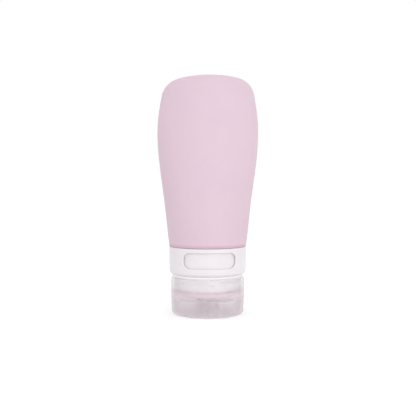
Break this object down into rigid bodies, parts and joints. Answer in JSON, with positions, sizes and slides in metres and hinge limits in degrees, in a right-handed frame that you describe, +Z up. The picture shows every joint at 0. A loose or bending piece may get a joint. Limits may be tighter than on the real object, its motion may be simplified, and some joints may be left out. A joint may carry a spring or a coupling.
{
  "type": "silicone travel bottle",
  "caption": "Squeezable silicone travel bottle standing on its screw cap, with a flip lid, a cross-slit valve and a turning label collar.",
  "frame": {"origin": "centre of the flip lid's foot, on which the bottle stands", "axes": "+Z up the bottle's axis from the lid to the closed end, -Y out of the label window's side, +X to the right of that side"},
  "size_m": [0.0512, 0.0398, 0.1212],
  "materials": {
    "body_silicone": "matte",
    "seal_silicone": "matte",
    "white_plastic": "satin",
    "frosted_plastic": "translucent, lightly frosted"
  },
  "bodies": {
    "bottle": {"bottle_body": "body_silicone", "neck_insert": "white_plastic", "label_ring": "white_plastic"},
    "collar": {"collar": "white_plastic"},
    "seal": {"seal_washer": "seal_silicone"},
    "cap": {"cap_base": "frosted_plastic", "valve": "seal_silicone", "valve_retainer": "frosted_plastic", "hinge_web": "frosted_plastic"},
    "lid": {"flip_lid": "frosted_plastic"}
  },
  "joints": [
    {"name": "collar_turn", "type": "hinge", "parent": "bottle", "child": "collar", "pos_m": [0, 0, 0.0276], "axis": [0, 0, 1], "continuous": true},
    {"name": "cap_lift", "type": "slide", "parent": "bottle", "child": "seal", "axis": [0, 0, -1], "range_m": [0, 0.005]},
    {"name": "cap_turn", "type": "hinge", "parent": "seal", "child": "cap", "pos_m": [0, 0, 0.014], "axis": [0, 0, -1], "range_deg": [0, 450]},
    {"name": "lid_hinge", "type": "hinge", "parent": "cap", "child": "lid", "pos_m": [-0.00429, 0.01856, 0.0086], "axis": [0.9744, 0.225, 0], "range_deg": [0, 170], "deforming": ["hinge_web"]}
  ],
  "couplings": [
    {"joint": "cap_lift", "follows": "cap_turn", "m_per_rad": 0.00063662}
  ]
}
